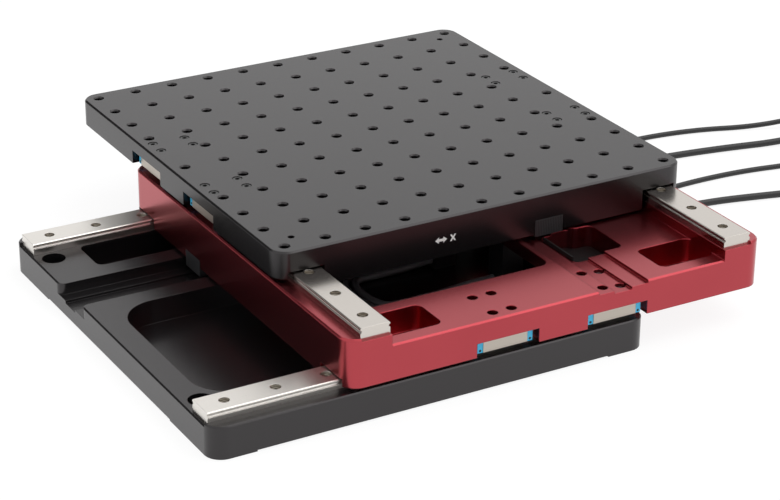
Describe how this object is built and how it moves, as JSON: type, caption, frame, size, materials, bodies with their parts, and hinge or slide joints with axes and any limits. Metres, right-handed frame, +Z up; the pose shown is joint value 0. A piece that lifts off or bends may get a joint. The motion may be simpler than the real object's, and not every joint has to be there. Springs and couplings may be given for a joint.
{
  "type": "motorized xy stage",
  "caption": "Low-profile two-axis linear motor stage: three stacked square plates on crossed guide rails, with a threaded lattice top and flying leads.",
  "frame": {"origin": "centre of the base plate's mounting pattern, on its underside", "axes": "+X along the lower axis towards the cable side, +Y along the upper axis towards the back, +Z up"},
  "size_m": [0.6185, 0.351, 0.0681],
  "materials": {
    "black_anodised": "satin black anodised",
    "red_anodised": "satin red anodised",
    "rail_steel": "ground steel",
    "carriage_steel": "satin steel",
    "blue_plastic": "moulded bright blue",
    "screw_steel": "steel",
    "track_steel": "plated steel",
    "magnet": "nickel plated",
    "track_cap": "textured dark grey",
    "coil_resin": "black potting resin",
    "bumper_rubber": "soft black",
    "scale_steel": "polished tape",
    "head_black": "satin black",
    "gland_black": "moulded black",
    "clamp_plastic": "moulded black",
    "connector_metal": "nickel plated",
    "cable_jacket": "matt black jacket"
  },
  "bodies": {
    "base": {"base_loop_clamp": "clamp_plastic", "base_plate": "black_anodised", "base_rail_back": "rail_steel", "base_rail_front": "rail_steel", "base_rail_screws": "screw_steel", "cable_glands": "gland_black", "x_bumpers": "bumper_rubber", "x_coil": "coil_resin", "x_encoder_cable": "cable_jacket", "x_encoder_connector": "connector_metal", "x_motor_cable": "cable_jacket", "x_motor_connector": "connector_metal", "x_read_head": "head_black", "y_encoder_cable": "cable_jacket", "y_encoder_connector": "connector_metal", "y_encoder_loop": "cable_jacket", "y_motor_cable": "cable_jacket", "y_motor_connector": "connector_metal", "y_motor_loop": "cable_jacket"},
    "mid": {"mid_loop_clamp": "clamp_plastic", "mid_plate": "red_anodised", "mid_rail_left": "rail_steel", "mid_rail_right": "rail_steel", "mid_rail_screws": "screw_steel", "mid_slot_cover": "clamp_plastic", "x_caps_back_left": "blue_plastic", "x_caps_back_right": "blue_plastic", "x_caps_front_left": "blue_plastic", "x_caps_front_right": "blue_plastic", "x_carriage_back_left": "carriage_steel", "x_carriage_back_right": "carriage_steel", "x_carriage_front_left": "carriage_steel", "x_carriage_front_right": "carriage_steel", "x_carriage_screws": "screw_steel", "x_magnet_track": "track_steel", "x_magnets": "magnet", "x_scale": "scale_steel", "x_track_caps": "track_cap", "y_bumpers": "bumper_rubber", "y_coil": "coil_resin", "y_read_head": "head_black"},
    "top": {"top_plate": "black_anodised", "y_caps_back_left": "blue_plastic", "y_caps_back_right": "blue_plastic", "y_caps_front_left": "blue_plastic", "y_caps_front_right": "blue_plastic", "y_carriage_back_left": "carriage_steel", "y_carriage_back_right": "carriage_steel", "y_carriage_front_left": "carriage_steel", "y_carriage_front_right": "carriage_steel", "y_carriage_screws": "screw_steel", "y_magnet_track": "track_steel", "y_magnets": "magnet", "y_scale": "scale_steel", "y_track_caps": "track_cap"}
  },
  "joints": [
    {"name": "x_slide", "type": "slide", "parent": "base", "child": "mid", "axis": [1, 0, 0], "range_m": [-0.158, 0], "deforming": ["y_motor_loop", "y_encoder_loop"]},
    {"name": "y_slide", "type": "slide", "parent": "mid", "child": "top", "axis": [0, 1, 0], "range_m": [-0.158, 0]}
  ]
}
